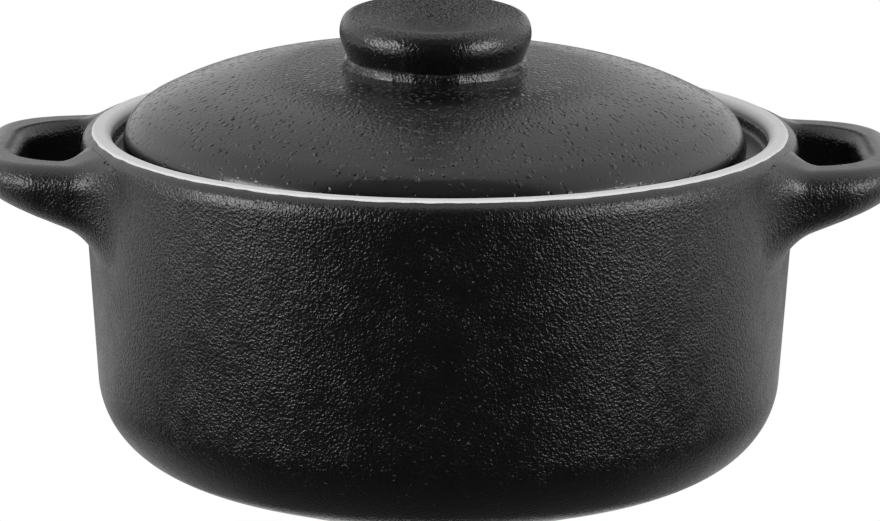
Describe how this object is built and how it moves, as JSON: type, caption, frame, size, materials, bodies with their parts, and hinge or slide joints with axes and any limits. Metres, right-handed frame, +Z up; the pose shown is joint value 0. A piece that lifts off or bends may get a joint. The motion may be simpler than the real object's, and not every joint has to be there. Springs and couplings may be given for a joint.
{
  "type": "mini casserole dish",
  "caption": "Small round stoneware casserole in textured matt black glaze with a bare pale rim, two loop handles and a domed lift-off lid with a flat knob.",
  "frame": {"origin": "on the table under the middle of the foot, which is also the middle of the bounding box's base", "axes": "+Z up, +X through the two handles, +Y from the front to the back"},
  "size_m": [0.145, 0.1136, 0.0736],
  "materials": {
    "glazed_black": "matt black textured glaze",
    "bare_clay": "bare fired white stoneware"
  },
  "bodies": {
    "dish": {"dish_body": "glazed_black", "rim_band": "bare_clay", "foot_ring": "bare_clay", "left_handle": "glazed_black", "right_handle": "glazed_black"},
    "lid": {"lid_shell": "glazed_black", "lid_locating_ring": "bare_clay", "lid_knob": "glazed_black", "knob_slip_bead": "glazed_black"}
  },
  "joints": [
    {"name": "lid_lift", "type": "slide", "parent": "dish", "child": "lid", "axis": [0, 0, 1], "range_m": [0, 0.06]}
  ]
}
